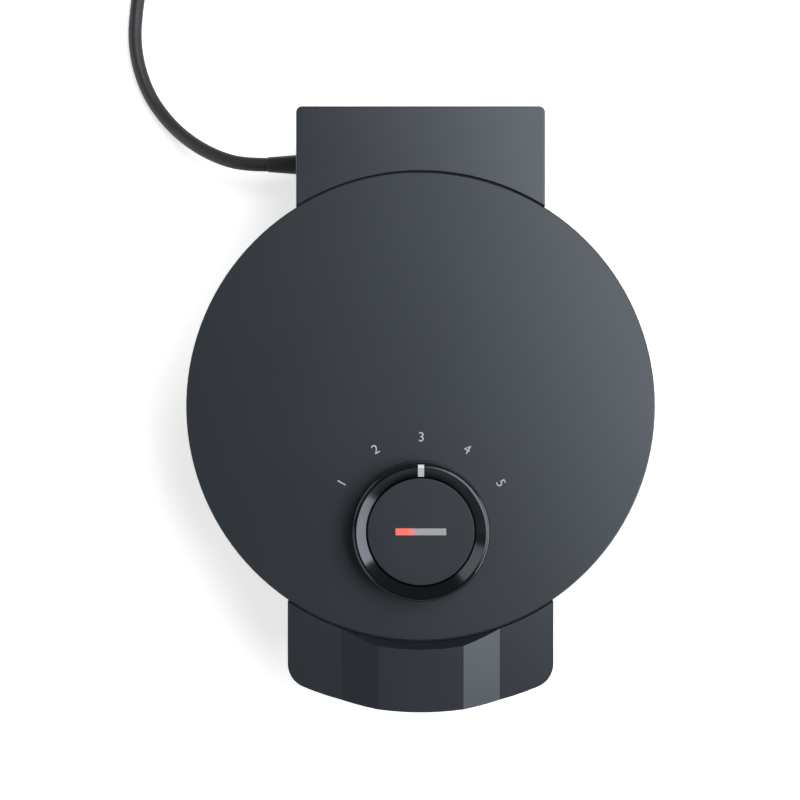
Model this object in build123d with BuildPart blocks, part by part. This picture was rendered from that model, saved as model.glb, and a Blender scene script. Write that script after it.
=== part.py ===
"""Heart waffle iron with a hinged lid, closed and standing on its feet.

Millimetres, +Z up, the handles towards -Y and the hinge towards +Y. The origin is on the table,
under the middle of the iron's own outline. Depths are measured from the plates' axis.
"""

import math
import os

from build123d import *

os.makedirs("parts", exist_ok=True)

# Plan of the iron, measured from the axis of the round plates
disc_radius = 117.5
rear_reach = 150.3
front_reach = 152.2
block_width = 124.8
block_corner = 3.0
handle_width = 133.0
handle_corner = 12.5
drum_inset = 1.2

# Heights
foot_height = 5.0
parting = 45.0
rim_gap = 1.0
lid_top = 84.0
disc_thickness = 2.5

# Moulded walls
wall = 2.5
cover_gap = 0.2
side_draft = 1.4
bottom_ease = 0.6
foot_rounding = 4.0
edge_rounding = 0.8

# Handles
lower_grip_bottom = 22.0
lower_grip_top = 40.0
upper_grip_bottom = 58.0
crown_height = 4.2
crown_half_width = 21.3
ramp_foot = 39.6
disc_seam = 0.7
crown_back_run = 2.8
grip_rounding = 1.5

# Hinge
barrel_radius = 7.3
barrel_gap = 0.6
ear_radius = 7.0
ear_centre = 36.0
ear_width = 12.0
ear_side_gap = 0.4
neck_back = 1.0
rear_step = 8.4
ear_slot_rise = 4.0
ear_slot_over = 1.0
pin_hole_over = 1.0
pin_radius = 2.5
pin_length = 112.0
pin_running_gap = 0.07

# Cooking plates
plate_gap = 0.15
mouth_margin = 11.3
plate_side_gap = 1.0
flange_width = 5.5
rim_width = 5.0
body_step = 3.1
flange_drop = 2.0
flange_thickness = 3.0
divider_depth = 2.2
heart_depth = 7.0
plate_floor = 3.6
heart_count = 5
divider_width = 5.0
lobe_share = 0.239
heart_margin = 1.5
mould_draft = 10.0
bump_pitch = 11.6
bump_size = 7.4
bump_height = 4.1
bump_draft = 15.0
bump_clearance = 1.6
smallest_bump = 16.0
bumps_across = 9

# Seat of a plate in its housing
body_side_gap = 2.1
ledge_thickness = 3.5

# Heating elements and heat shields
element_inset = 31.5
element_tube = 3.3
element_clear = 0.1
element_gap = 23.0
element_rib = 6.0
element_lead_x = 12.0
element_lead_inset = 6.5
element_bend = 9.0
shield_sheet = 0.8
shield_depth = 9.7
shield_wall_gap = 1.0
shield_flange_width = 2.9
plate_screw_inset = 11.5
plate_screw_length = 8.0
plate_hole_over = 1.0
plate_boss_radius = 5.0
lead_hole_radius = 3.2

# Fasteners
screw_radius = 1.5
screw_head_radius = 2.8
screw_head = 1.6
screw_clear = 0.15
boss_radius = 4.0
base_boss_inset = 1.4
liner_boss_radius = 3.2
block_boss_x = 48.0
block_boss_inset = 34.6
cover_hole_depth = 14.0
cover_screw_length = 11.0
liner_hole_depth = 12.0
liner_screw_length = 10.0

# Dial
dial_edge_distance = 55.8
dial_lift = 0.4
dial_outer_radius = 34.8
dial_top_radius = 34.0
dial_height = 15.0
crest_radius = 31.6
bevel_foot_radius = 27.1
bevel_drop = 4.1
dial_bore = 26.9
web_height = 2.0
web_thickness = 2.0
hub_radius = 5.0
hub_running_gap = 0.08
spindle_radius = 3.0
dial_travel = 60.0
post_circle = 14.0
post_radius = 2.5
post_clearance = 0.6
cap_radius = 26.4
cap_height = 11.0
cap_thickness = 3.0
cap_hole_depth = 9.0
cap_screw_length = 9.0
light_length = 25.0
light_width = 3.4
light_proud = 0.05
light_corner = 0.4
board_length = 38.0
board_width = 12.0
board_thickness = 1.2
pointer_width = 3.0
pointer_depth = 0.7
pointer_reach = 33.2
dial_well_radius = 20.0
dial_skirt = 4.0
hub_reach_gap = 0.4
slot_spare_angle = 3.0
cap_edge = 0.5
spindle_depth = 5.0

# Thermostat
thermostat_length = 34.0
thermostat_width = 22.0
thermostat_height = 11.0
bracket_sheet = 1.2
bracket_length = 58.0
bracket_hole_inset = 4.5
bracket_corner = 2.0
shaft_collar = 1.5
shaft_collar_gap = 0.3
fuse_x = 40.0
fuse_radius = 3.0
fuse_length = 16.0

# Bottom cover and feet
foot_radius = 9.0
foot_inset = 31.5
foot_peg_radius = 3.0
vent_length = 34.0
vent_width = 3.0
vent_pitch = 8.0
vent_count = 7

# Mains cord
cord_radius = 3.75
cord_exit_inset = 16.9
cord_exit_z = 20.0
relief_length = 21.0
relief_root_radius = 5.8
relief_flange_radius = 8.0
tail_end = -32.0
terminal_length = 30.0
terminal_width = 18.0
terminal_height = 17.0
clamp_x = -46.0
clamp_width = 9.0
clamp_length = 24.0
clamp_bar = 3.0
lead_radius = 1.25
sleeve_radius = 5.0
sleeve_wall = 1.2
sleeve_stand = 1.6
sleeve_rounding = 0.3
sleeve_hole_gap = 1.0
clamp_leg = 6.0
lead_run = 8.0
lead_bend = 3.0
lead_drop_inset = 10.5
lead_spacing = 5.0
lead_fall = 2.0
relief_tip_wall = 0.7

# Coil of the cord that is put away
coil_outer_radius = 47.0
coil_step = 8.1
coil_layer_rise = 8.0
turns_inward = 1.75
turns_outward = 1.5
coil_exit_radius = 53.0
tie_width = 10.0
tie_thickness = 0.8
tie_slack = 0.35
tie_bite = 2.5

# Plug
plug_radius = 18.8
plug_height = 25.0
plug_neck_length = 26.0
plug_neck_radius = 7.0
plug_neck_tip = 4.6
plug_pin_radius = 2.4
plug_pin_length = 19.0
plug_pin_spacing = 19.0
plug_pin_rounding = 1.2
plug_back_rounding = 4.0
plug_face_rounding = 1.0
plug_neck_overlap = 8.0
plug_neck_inset = 5.3
plug_clip_width = 6.0
plug_clip_depth = 2.5
plug_clip_length = 17.0
plug_socket_radius = 2.6
plug_socket_offset = 10.0
plug_socket_depth = 10.0

# Places worked out from the sizes above
plate_y = (front_reach - rear_reach) / 2
drum_radius = disc_radius - drum_inset
mouth_radius = drum_radius - mouth_margin
plate_flange_radius = mouth_radius - plate_side_gap
plate_rim_radius = plate_flange_radius - flange_width
cavity_radius = plate_rim_radius - rim_width
plate_body_radius = plate_rim_radius - body_step
ledge_inner_radius = plate_body_radius + body_side_gap
shield_wall_radius = ledge_inner_radius - shield_wall_gap
shield_flange_radius = shield_wall_radius + shield_flange_width
lobe_radius = lobe_share * (cavity_radius - heart_margin)
plate_screw_circle = cavity_radius - plate_screw_inset
element_radius = cavity_radius - element_inset
element_lead_end = shield_wall_radius - element_lead_inset
lead_drop_y = shield_wall_radius - lead_drop_inset
base_boss_circle = mouth_radius - base_boss_inset
liner_boss_circle = mouth_radius + wall + liner_boss_radius + cover_gap
foot_circle = disc_radius - foot_inset
base_floor = foot_height
base_rim = parting - rim_gap
lid_rim = parting + rim_gap
deck = lid_top - disc_thickness
ceiling = deck - wall
hinge_y = rear_reach - barrel_radius
hinge_z = lid_rim
trough_front = hinge_y - barrel_radius - barrel_gap
block_boss_y = rear_reach - block_boss_inset
cord_exit_y = rear_reach - cord_exit_inset
sleeve_y = (mouth_radius + wall + trough_front) / 2
ledge_top = parting - flange_drop - flange_thickness
ledge_bottom = ledge_top - ledge_thickness
plate_top = parting - plate_gap
heart_floor = plate_top - heart_depth
plate_bottom = heart_floor - plate_floor
shield_top = ledge_bottom - shield_depth
shield_bottom = shield_top - shield_sheet
element_z = plate_bottom - element_tube - element_clear
dial_y = dial_edge_distance - disc_radius
cover_top = base_floor + wall
liner_top = lid_rim + wall
upper_shield_top = 2 * parting - shield_bottom
thermostat_top = upper_shield_top + bracket_sheet + thermostat_height
parting_plane = Plane.XY.offset(parting)
plate_axis = Axis((0, plate_y, 0), (0, 0, 1))
dial_axis = Axis((0, plate_y + dial_y, 0), (0, 0, 1))
section = Plane(origin=(0, plate_y, 0), x_dir=(1, 0, 0), z_dir=(0, -1, 0))
dial_section = Plane(origin=(0, plate_y + dial_y, 0), x_dir=(1, 0, 0), z_dir=(0, -1, 0))


def at(x, y, z):
    """Point given from the plates' axis."""
    return (x, plate_y + y, z)


def level(height, x=0.0, y=0.0):
    """Horizontal plane whose origin is given from the plates' axis."""
    return Plane(origin=at(x, y, height))


def side(x):
    """Plane across the iron at x: its own axes are depth from the plates' axis, and height."""
    return Plane(origin=(x, plate_y, 0), x_dir=(0, 1, 0), z_dir=(1, 0, 0))


def block_area(height, inset=0.0, rear=rear_reach):
    """Hinge block seen from above, from the plates' axis to its rear wall."""
    with BuildSketch(level(height)) as area:
        Rectangle(block_width - 2 * inset, rear - inset, align=(Align.CENTER, Align.MIN))
        fillet(area.vertices().group_by(Axis.Y)[-1], max(block_corner - inset, 0.4))
    return area.sketch


def handle_area(height, inset=0.0, clear_of=0.0):
    """Handle seen from above; its front is concentric with the plates."""
    with BuildSketch(level(height)) as area:
        Circle(front_reach - inset)
        Rectangle(
            handle_width - 2 * inset,
            front_reach,
            align=(Align.CENTER, Align.MAX),
            mode=Mode.INTERSECT,
        )
        fillet(area.vertices().group_by(Axis.Y)[0], handle_corner - inset)
        if clear_of:
            Circle(clear_of, mode=Mode.SUBTRACT)
    return area.sketch


def outer_rim(edges, height):
    """Edges round the outside of a handle at a height, without its back edge."""
    found = []
    for edge in edges:
        middle = edge @ 0.5
        if abs(middle.Z - height) < edge_rounding and middle.Y < plate_y - wall:
            found.append(edge)
    return found


def ring_of_places(radius, count, first_angle, height):
    """Places evenly round the plates' axis."""
    places = []
    for index in range(count):
        angle = math.radians(first_angle + index * 360.0 / count)
        places.append(at(radius * math.cos(angle), radius * math.sin(angle), height))
    return places


def post_places_at(height):
    """Places of the two posts that carry the fixed cap of the dial."""
    return [at(sign * post_circle, dial_y, height) for sign in (-1, 1)]


def screws(places, length, upward=True, head=screw_head, head_radius=screw_head_radius):
    """Screws with the underside of each head at the place given, added to the open part."""
    seat = Align.MIN if upward else Align.MAX
    cap = Align.MAX if upward else Align.MIN
    with Locations(*places):
        Cylinder(screw_radius, length, align=(Align.CENTER, Align.CENTER, seat))
        Cylinder(head_radius, head, align=(Align.CENTER, Align.CENTER, cap))


def heart_area(plane, inset=0.0):
    """One heart with its tip near the axis of the plane and its lobes towards local +X."""
    half_sector = math.pi / heart_count
    reach = cavity_radius - heart_margin - inset
    lobe = lobe_radius - inset
    edge = divider_width / 2 + inset
    centre_distance = reach - lobe
    lean = math.acos((edge + lobe) / centre_distance) - (math.pi / 2 - half_sector)
    centre = (centre_distance * math.cos(lean), centre_distance * math.sin(lean))
    flank = (
        centre[0] - lobe * math.sin(half_sector),
        centre[1] + lobe * math.cos(half_sector),
    )
    crest = (reach * math.cos(lean), reach * math.sin(lean))
    notch = centre[0] + math.sqrt(lobe**2 - centre[1] ** 2)
    tip = edge / math.sin(half_sector)
    with BuildSketch(plane) as area:
        with BuildLine():
            Line((tip, 0), flank)
            ThreePointArc(flank, crest, (notch, 0))
            ThreePointArc((notch, 0), (crest[0], -crest[1]), (flank[0], -flank[1]))
            Line((flank[0], -flank[1]), (tip, 0))
        make_face()
    return area.sketch


# Base housing

block_bosses = [at(sign * block_boss_x, block_boss_y, 0) for sign in (-1, 1)]
liner_places = ring_of_places(liner_boss_circle, 4, 45, 0) + block_bosses
inner_bottom_radius = drum_radius - side_draft - foot_rounding + bottom_ease

with BuildPart() as lower_grip:
    extrude(handle_area(lower_grip_bottom), amount=lower_grip_top - lower_grip_bottom)
    for height in (lower_grip_bottom, lower_grip_top):
        fillet(outer_rim(lower_grip.edges(), height), grip_rounding)

with BuildPart() as base_shell:
    extrude(block_area(base_floor), amount=base_rim - base_floor)
    fillet(
        base_shell.faces().sort_by(Axis.Z)[0].edges().group_by(Axis.Y)[-1]
        + base_shell.faces().sort_by(Axis.Z)[0].edges().filter_by(Axis.Y),
        grip_rounding,
    )
    add(lower_grip.part)
    with BuildSketch(section) as drum_profile:
        with BuildLine():
            Polyline(
                (0, base_floor),
                (drum_radius - side_draft, base_floor),
                (drum_radius, base_rim),
                (0, base_rim),
                close=True,
            )
        make_face()
        fillet(drum_profile.vertices().sort_by(Axis.X)[-2], foot_rounding)
        fillet(drum_profile.vertices().sort_by(Axis.X)[-1], edge_rounding)
    revolve(axis=plate_axis)
    # Hollow of the drum, the hinge block and the lower handle
    with BuildSketch(section) as drum_hollow:
        with BuildLine():
            Polyline(
                (0, base_floor),
                (inner_bottom_radius - wall, base_floor),
                (drum_radius - side_draft - wall, base_floor + foot_rounding),
                (drum_radius - wall, base_rim - wall),
                (0, base_rim - wall),
                close=True,
            )
        make_face()
    revolve(axis=plate_axis, mode=Mode.SUBTRACT)
    extrude(
        block_area(base_floor, wall),
        amount=hinge_z - rear_step - wall - base_floor,
        mode=Mode.SUBTRACT,
    )
    extrude(
        block_area(base_floor, wall, trough_front),
        amount=base_rim - wall - base_floor,
        mode=Mode.SUBTRACT,
    )
    extrude(
        handle_area(lower_grip_bottom, wall, drum_radius),
        amount=lower_grip_top - wall - lower_grip_bottom,
        mode=Mode.SUBTRACT,
    )
    # Mouth with the ledge that carries the lower plate
    with BuildSketch(level(ledge_bottom)):
        Circle(mouth_radius)
    extrude(amount=base_rim - ledge_bottom, mode=Mode.SUBTRACT)
    with BuildSketch(section):
        with BuildLine():
            Polyline(
                (ledge_inner_radius, ledge_bottom),
                (mouth_radius + wall, ledge_bottom),
                (mouth_radius + wall, base_rim),
                (mouth_radius, base_rim),
                (mouth_radius, ledge_top),
                (ledge_inner_radius, ledge_top),
                close=True,
            )
        make_face()
    revolve(axis=plate_axis)
    # Trough and step behind the hinge, so that the lid can lean back
    with BuildSketch(side(0)):
        with Locations((hinge_y, hinge_z)):
            Circle(barrel_radius + barrel_gap)
        with Locations((hinge_y, hinge_z - rear_step)):
            Rectangle(2 * barrel_radius, rear_step, align=(Align.MIN, Align.MIN))
    extrude(amount=block_width, both=True, mode=Mode.SUBTRACT)
    # Ears that hold the hinge pin
    for sign in (-1, 1):
        with BuildSketch(side(sign * ear_centre)):
            with Locations((hinge_y, hinge_z)):
                Circle(ear_radius)
            with Locations((hinge_y + neck_back, hinge_z)):
                Rectangle(
                    ear_radius + neck_back,
                    rear_step + wall,
                    align=(Align.MAX, Align.MAX),
                )
            with Locations((hinge_y, hinge_z)):
                Circle(pin_radius, mode=Mode.SUBTRACT)
        extrude(amount=ear_width / 2, both=True)
    # Screw posts
    with Locations(*ring_of_places(base_boss_circle, 4, 45, cover_top)):
        Cylinder(
            boss_radius,
            ledge_bottom - cover_top,
            align=(Align.CENTER, Align.CENTER, Align.MIN),
        )
    with Locations(*[(x, y, cover_top) for x, y, z in block_bosses]):
        Cylinder(
            boss_radius,
            base_rim - wall - cover_top,
            align=(Align.CENTER, Align.CENTER, Align.MIN),
        )
    post_places = ring_of_places(base_boss_circle, 4, 45, cover_top)
    post_places += [(x, y, cover_top) for x, y, z in block_bosses]
    with Locations(*post_places):
        Cylinder(
            screw_radius + screw_clear,
            cover_hole_depth,
            align=(Align.CENTER, Align.CENTER, Align.MIN),
            mode=Mode.SUBTRACT,
        )
    # Cord hole in the left wall and lead hole in the deck before the hinge
    with BuildSketch(side(-block_width / 2 + wall)):
        with Locations((cord_exit_y, cord_exit_z)):
            Circle(relief_root_radius)
    extrude(amount=-2 * wall, mode=Mode.SUBTRACT)
    with Locations(at(0, sleeve_y, base_rim - wall)):
        Cylinder(
            sleeve_radius,
            wall,
            align=(Align.CENTER, Align.CENTER, Align.MIN),
            mode=Mode.SUBTRACT,
        )
base_shell.part.label = "base_shell"

with BuildPart() as bottom_cover:
    with BuildSketch(level(base_floor)) as cover_outline:
        Circle(inner_bottom_radius - wall - cover_gap)
        Rectangle(
            block_width - 2 * (wall + cover_gap),
            rear_reach - wall - cover_gap,
            align=(Align.CENTER, Align.MIN),
        )
        with GridLocations(0, vent_pitch, 1, vent_count):
            SlotOverall(vent_length, vent_width, mode=Mode.SUBTRACT)
    extrude(amount=wall)
    with Locations(at(clamp_x, cord_exit_y, cover_top)):
        Box(
            clamp_width,
            clamp_length,
            cord_exit_z - cord_radius - cover_top,
            align=(Align.CENTER, Align.CENTER, Align.MIN),
        )
    with Locations(*[(x, y, base_floor) for x, y, z in post_places]):
        Cylinder(
            screw_radius + screw_clear,
            wall,
            align=(Align.CENTER, Align.CENTER, Align.MIN),
            mode=Mode.SUBTRACT,
        )
        Cylinder(
            screw_head_radius + screw_clear,
            screw_head,
            align=(Align.CENTER, Align.CENTER, Align.MIN),
            mode=Mode.SUBTRACT,
        )
    with Locations(*ring_of_places(foot_circle, 4, 45, base_floor)):
        Cylinder(
            foot_peg_radius,
            wall,
            align=(Align.CENTER, Align.CENTER, Align.MIN),
            mode=Mode.SUBTRACT,
        )
bottom_cover.part.label = "bottom_cover"

with BuildPart() as cover_screws:
    screws([(x, y, base_floor + screw_head) for x, y, z in post_places], cover_screw_length)
cover_screws.part.label = "cover_screws"

with BuildPart() as rubber_feet:
    with Locations(*ring_of_places(foot_circle, 4, 45, 0)):
        Cylinder(foot_radius, foot_height, align=(Align.CENTER, Align.CENTER, Align.MIN))
        Cylinder(
            foot_peg_radius,
            foot_height + wall,
            align=(Align.CENTER, Align.CENTER, Align.MIN),
        )
    fillet(rubber_feet.edges().group_by(Axis.Z)[0], edge_rounding)
rubber_feet.part.label = "rubber_feet"

with BuildPart() as lower_handle_cover:
    extrude(
        handle_area(lower_grip_bottom, wall + cover_gap, drum_radius + cover_gap),
        amount=wall,
    )
lower_handle_cover.part.label = "lower_handle_cover"

# Lower cooking plate, the upper one being its mirror image

with BuildPart() as lower_plate:
    # Blank: body, flange, rim, and the rib whose groove holds the element
    with BuildSketch(section):
        with BuildLine():
            Polyline(
                (0, plate_bottom),
                (plate_body_radius, plate_bottom),
                (plate_body_radius, ledge_top),
                (plate_flange_radius, ledge_top),
                (plate_flange_radius, parting - flange_drop),
                (plate_rim_radius, parting - flange_drop),
                (plate_rim_radius, plate_top),
                (cavity_radius, plate_top),
                (cavity_radius, plate_top - divider_depth),
                (0, plate_top - divider_depth),
                close=True,
            )
        make_face()
        with Locations((element_radius, plate_bottom)):
            Rectangle(
                2 * element_rib,
                plate_bottom - element_z,
                align=(Align.CENTER, Align.MAX),
            )
        with Locations((element_radius, element_z)):
            Circle(element_tube, mode=Mode.SUBTRACT)
    revolve(axis=plate_axis)
    # Gap in the rib where the ends of the element leave
    with Locations(at(0, element_radius, plate_bottom)):
        Box(
            2 * element_gap,
            4 * element_rib,
            plate_bottom - element_z,
            align=(Align.CENTER, Align.CENTER, Align.MAX),
            mode=Mode.SUBTRACT,
        )
    # Screw bosses
    with Locations(*ring_of_places(plate_screw_circle, 4, 45, plate_bottom)):
        Cylinder(
            plate_boss_radius,
            plate_bottom - shield_top,
            align=(Align.CENTER, Align.CENTER, Align.MAX),
        )
    with Locations(*ring_of_places(plate_screw_circle, 4, 45, shield_top)):
        Cylinder(
            screw_radius + screw_clear,
            plate_bottom - shield_top + plate_hole_over,
            align=(Align.CENTER, Align.CENTER, Align.MIN),
            mode=Mode.SUBTRACT,
        )
    # Hearts, with drafted walls, and their waffle grid
    for index in range(heart_count):
        turn = 90 + index * 360.0 / heart_count
        floor = level(heart_floor).rotated((0, 0, turn))
        mouth = level(plate_top - divider_depth).rotated((0, 0, turn))
        depth = heart_depth - divider_depth
        extrude(
            heart_area(mouth),
            amount=-depth,
            taper=mould_draft,
            mode=Mode.SUBTRACT,
        )
        with BuildSketch(floor) as grid:
            with Locations(Location((cavity_radius * 0.6, 0), 45)):
                with GridLocations(bump_pitch, bump_pitch, bumps_across, bumps_across):
                    Rectangle(bump_size, bump_size)
            add(
                heart_area(
                    Plane.XY, bump_clearance + depth * math.tan(math.radians(mould_draft))
                ),
                mode=Mode.INTERSECT,
            )
        bumps = [face for face in grid.sketch.faces() if face.area > smallest_bump]
        extrude(bumps, amount=bump_height, taper=bump_draft)
lower_plate.part.label = "lower_plate"


# Upper cooking plate
with BuildPart() as upper_plate:
    mirror(lower_plate.part, about=parting_plane)
upper_plate.part.label = "upper_plate"

# Heating elements: a ring almost closed, whose ends run out to the rear
with BuildPart() as lower_element:
    with BuildLine() as element_path:
        ring_start = math.degrees(math.asin((element_lead_x + element_bend) / element_radius))
        CenterArc(
            at(0, 0, element_z),
            element_radius,
            90 + ring_start,
            360 - 2 * ring_start,
        )
        for sign in (-1, 1):
            ring_angle = math.radians(90 - sign * ring_start)
            ring_end = at(
                element_radius * math.cos(ring_angle),
                element_radius * math.sin(ring_angle),
                element_z,
            )
            bend_end = at(
                sign * element_lead_x,
                element_radius * math.sin(ring_angle) + element_bend,
                element_z,
            )
            along_ring = Vector(-sign * math.sin(ring_angle), sign * math.cos(ring_angle), 0)
            TangentArc(ring_end, bend_end, tangent=along_ring)
            Line(bend_end, at(sign * element_lead_x, element_lead_end, element_z))
    lead_end = at(-element_lead_x, element_lead_end, element_z)
    with BuildSketch(Plane(origin=lead_end, z_dir=(0, 1, 0))):
        Circle(element_tube)
    sweep(path=element_path.wires()[0])
lower_element.part.label = "lower_element"

with BuildPart() as upper_element:
    mirror(lower_element.part, about=parting_plane)
upper_element.part.label = "upper_element"

# Heat shields: pressed pans clamped under the ledge by the plate's screws
with BuildPart() as lower_heat_shield:
    with BuildSketch(section) as shield_profile:
        with BuildLine():
            Polyline(
                (0, shield_bottom),
                (shield_wall_radius, shield_bottom),
                (shield_wall_radius, ledge_bottom - shield_sheet),
                (shield_flange_radius, ledge_bottom - shield_sheet),
                (shield_flange_radius, ledge_bottom),
                (shield_wall_radius - shield_sheet, ledge_bottom),
                (shield_wall_radius - shield_sheet, shield_top),
                (0, shield_top),
                close=True,
            )
        make_face()
    revolve(axis=plate_axis)
    with Locations(*ring_of_places(plate_screw_circle, 4, 45, shield_bottom)):
        Cylinder(
            screw_radius + screw_clear,
            shield_sheet,
            align=(Align.CENTER, Align.CENTER, Align.MIN),
            mode=Mode.SUBTRACT,
        )
    with Locations(*[at(sign * element_lead_x, lead_drop_y, shield_bottom) for sign in (-1, 1)]):
        Cylinder(
            lead_hole_radius,
            shield_sheet,
            align=(Align.CENTER, Align.CENTER, Align.MIN),
            mode=Mode.SUBTRACT,
        )
lower_heat_shield.part.label = "lower_heat_shield"

with BuildPart() as upper_heat_shield:
    mirror(lower_heat_shield.part, about=parting_plane)
upper_heat_shield.part.label = "upper_heat_shield"

with BuildPart() as lower_plate_screws:
    screws(ring_of_places(plate_screw_circle, 4, 45, shield_bottom), plate_screw_length)
lower_plate_screws.part.label = "lower_plate_screws"

with BuildPart() as upper_plate_screws:
    mirror(lower_plate_screws.part, about=parting_plane)
upper_plate_screws.part.label = "upper_plate_screws"

# Lid housing: drum, hinge block and upper handle in one moulding
with BuildPart() as upper_grip:
    extrude(
        handle_area(upper_grip_bottom),
        amount=lid_top + crown_height - upper_grip_bottom,
    )
    # Raised centre of the handle, with a ramp on each side
    with BuildSketch(section) as roof:
        with BuildLine():
            Polyline(
                (-handle_width, lid_top),
                (-ramp_foot, lid_top),
                (-crown_half_width, lid_top + crown_height),
                (crown_half_width, lid_top + crown_height),
                (ramp_foot, lid_top),
                (handle_width, lid_top),
                (handle_width, lid_top + 3 * crown_height),
                (-handle_width, lid_top + 3 * crown_height),
                close=True,
            )
        make_face()
    extrude(amount=front_reach, mode=Mode.SUBTRACT)
    fillet(outer_rim(upper_grip.edges(), upper_grip_bottom), grip_rounding)

with BuildPart() as lid_shell:
    extrude(block_area(lid_rim), amount=lid_top - lid_rim)
    fillet(
        lid_shell.faces().sort_by(Axis.Z)[-1].edges().group_by(Axis.Y)[-1]
        + lid_shell.faces().sort_by(Axis.Z)[-1].edges().filter_by(Axis.Y),
        edge_rounding,
    )
    add(upper_grip.part)
    with BuildSketch(section) as drum_side:
        with BuildLine():
            Polyline(
                (0, lid_rim),
                (drum_radius - edge_rounding, lid_rim),
                (drum_radius, deck),
                (0, deck),
                close=True,
            )
        make_face()
        fillet(drum_side.vertices().sort_by(Axis.X)[-2], edge_rounding)
    revolve(axis=plate_axis)
    # Recess for the round cover, and the sloped wall of the raised centre beside it
    with BuildSketch(section):
        with BuildLine():
            Polyline(
                (0, deck),
                (disc_radius + disc_seam, deck),
                (disc_radius + disc_seam, lid_top),
                (disc_radius + disc_seam + crown_back_run, lid_top + crown_height),
                (disc_radius + disc_seam + crown_back_run, lid_top + 3 * crown_height),
                (0, lid_top + 3 * crown_height),
                close=True,
            )
        make_face()
    revolve(axis=plate_axis, mode=Mode.SUBTRACT)
    # Hollow of the drum, the hinge block and the handle
    with BuildSketch(level(lid_rim)):
        Circle(drum_radius - wall)
        add(block_area(0, wall), mode=Mode.ADD)
    extrude(amount=ceiling - lid_rim, mode=Mode.SUBTRACT)
    extrude(
        handle_area(upper_grip_bottom, wall, drum_radius),
        amount=ceiling - upper_grip_bottom,
        mode=Mode.SUBTRACT,
    )
    # Hinge barrel, joined to the rear wall, bored for the pin and slotted for the ears
    with BuildSketch(side(0)):
        with Locations((hinge_y, hinge_z)):
            Circle(barrel_radius)
            Rectangle(barrel_radius, barrel_radius, align=(Align.MIN, Align.MIN))
    extrude(amount=block_width / 2, both=True)
    with BuildSketch(side(0)):
        with Locations((hinge_y, hinge_z)):
            Circle(pin_radius + pin_running_gap)
    extrude(amount=pin_length / 2 + pin_hole_over, both=True, mode=Mode.SUBTRACT)
    for sign in (-1, 1):
        with BuildSketch(side(sign * ear_centre)):
            with Locations((hinge_y, hinge_z)):
                Circle(barrel_radius + barrel_gap)
            with Locations((hinge_y, hinge_z - barrel_radius)):
                Rectangle(
                    barrel_radius + ear_slot_over,
                    barrel_radius + ear_slot_rise,
                    align=(Align.MIN, Align.MIN),
                )
        extrude(amount=ear_width / 2 + ear_side_gap, both=True, mode=Mode.SUBTRACT)
    # Posts for the liner's screws
    with Locations(*[(x, y, liner_top) for x, y, z in liner_places]):
        Cylinder(
            liner_boss_radius,
            ceiling - liner_top,
            align=(Align.CENTER, Align.CENTER, Align.MIN),
        )
        Cylinder(
            screw_radius + screw_clear,
            liner_hole_depth,
            align=(Align.CENTER, Align.CENTER, Align.MIN),
            mode=Mode.SUBTRACT,
        )
    # Bush for the dial's hub, and holes under the posts of the fixed cap
    with Locations(at(0, dial_y, ceiling)):
        Cylinder(
            hub_radius + hub_running_gap,
            wall,
            align=(Align.CENTER, Align.CENTER, Align.MIN),
            mode=Mode.SUBTRACT,
        )
    with Locations(*post_places_at(ceiling)):
        Cylinder(
            screw_radius + screw_clear,
            wall,
            align=(Align.CENTER, Align.CENTER, Align.MIN),
            mode=Mode.SUBTRACT,
        )
lid_shell.part.label = "lid_shell"

with BuildPart() as lid_disc:
    with BuildSketch(level(deck)):
        Circle(disc_radius)
        with Locations((0, dial_y)):
            Circle(dial_well_radius, mode=Mode.SUBTRACT)
    extrude(amount=disc_thickness)
    rims = lid_disc.edges().filter_by(GeomType.CIRCLE).group_by(Axis.Z)[-1]
    fillet(rims.sort_by(SortBy.RADIUS)[-1], edge_rounding)
lid_disc.part.label = "lid_disc"

with BuildPart() as lid_liner:
    with BuildSketch(level(lid_rim)):
        Circle(drum_radius - wall - edge_rounding - cover_gap)
        Rectangle(
            block_width - 2 * (wall + cover_gap),
            trough_front,
            align=(Align.CENTER, Align.MIN),
        )
        Circle(mouth_radius, mode=Mode.SUBTRACT)
        with Locations((0, sleeve_y)):
            Circle(sleeve_radius + sleeve_hole_gap, mode=Mode.SUBTRACT)
    extrude(amount=wall)
    with BuildSketch(section):
        with BuildLine():
            Polyline(
                (mouth_radius, lid_rim),
                (mouth_radius + wall, lid_rim),
                (mouth_radius + wall, 2 * parting - ledge_bottom),
                (ledge_inner_radius, 2 * parting - ledge_bottom),
                (ledge_inner_radius, 2 * parting - ledge_top),
                (mouth_radius, 2 * parting - ledge_top),
                close=True,
            )
        make_face()
    revolve(axis=plate_axis)
    with Locations(*[(x, y, lid_rim) for x, y, z in liner_places]):
        Cylinder(
            screw_radius + screw_clear,
            wall,
            align=(Align.CENTER, Align.CENTER, Align.MIN),
            mode=Mode.SUBTRACT,
        )
        Cylinder(
            screw_head_radius + screw_clear,
            screw_head,
            align=(Align.CENTER, Align.CENTER, Align.MIN),
            mode=Mode.SUBTRACT,
        )
lid_liner.part.label = "lid_liner"

with BuildPart() as liner_screws:
    screws([(x, y, lid_rim + screw_head) for x, y, z in liner_places], liner_screw_length)
liner_screws.part.label = "liner_screws"

with BuildPart() as upper_handle_cover:
    extrude(
        handle_area(upper_grip_bottom, wall + cover_gap, drum_radius + cover_gap),
        amount=wall,
    )
upper_handle_cover.part.label = "upper_handle_cover"

# Hinge pin through the ears of the base and the barrel of the lid
with BuildPart() as hinge_pin:
    with BuildSketch(side(0)):
        with Locations((hinge_y, hinge_z)):
            Circle(pin_radius)
    extrude(amount=pin_length / 2, both=True)
hinge_pin.part.label = "hinge_pin"

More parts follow.
